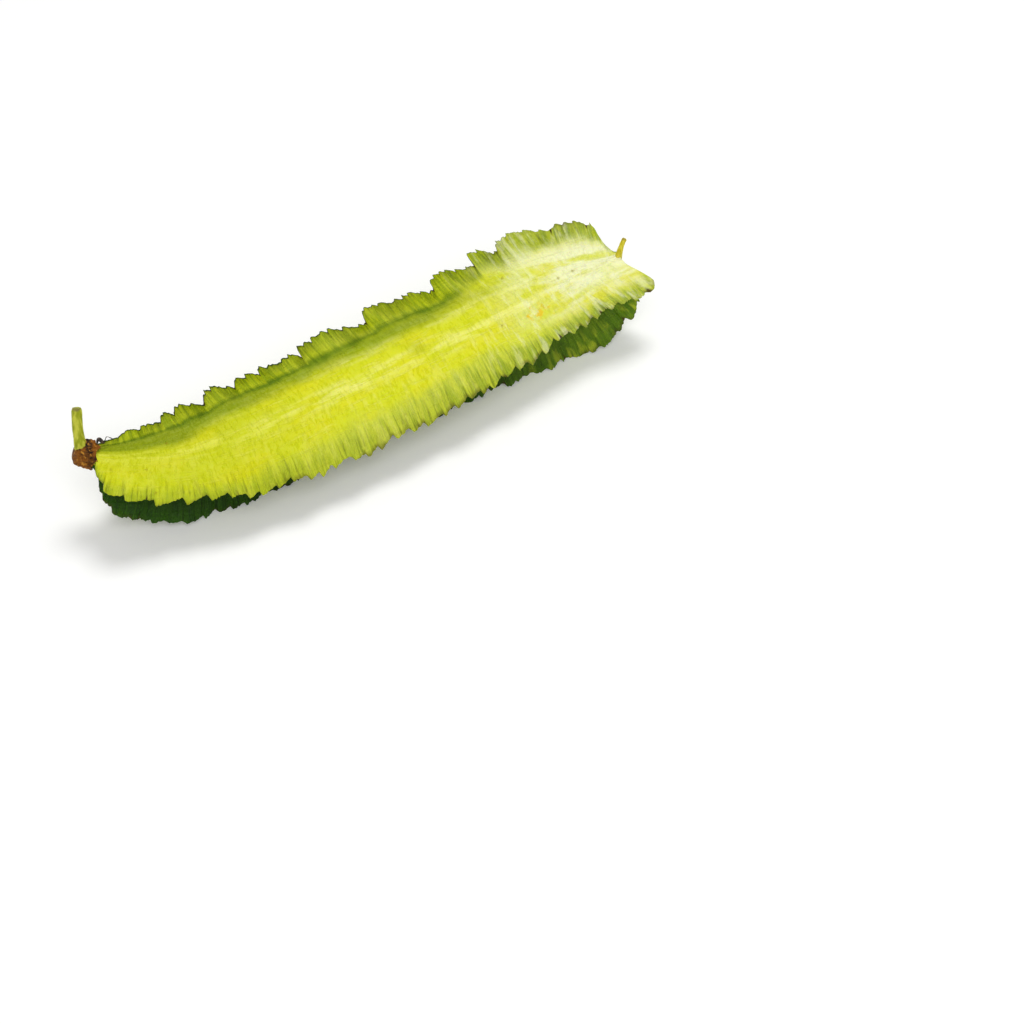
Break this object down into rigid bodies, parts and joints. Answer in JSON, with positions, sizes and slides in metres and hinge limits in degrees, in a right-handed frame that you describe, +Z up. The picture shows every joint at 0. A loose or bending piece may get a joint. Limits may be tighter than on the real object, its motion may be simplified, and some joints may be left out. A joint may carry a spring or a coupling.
{
  "type": "winged bean pod",
  "caption": "Fresh green winged bean pod, long and square in section with a frilled wing along each corner, a dried calyx and a short stalk.",
  "frame": {"origin": "middle of the bounding box of the whole part, at the height of the surface it lies on", "axes": "+X along the pod from the stalk to the beak, +Z up from the surface, -Y the side that the broad upper face leans to"},
  "size_m": [0.1688, 0.038, 0.0349],
  "materials": {
    "pod_skin": "satin, waxy, bright lime-yellow with green wing margins",
    "withered_calyx": "matte, brown and wrinkled",
    "green_stalk": "matte, olive green",
    "withered_style": "matte, straw yellow",
    "dry_petal": "matte, nearly black"
  },
  "bodies": {
    "root": {"pod": "pod_skin", "calyx": "withered_calyx", "stalk": "green_stalk", "style": "withered_style", "flower_shred": "dry_petal"}
  },
  "joints": []
}
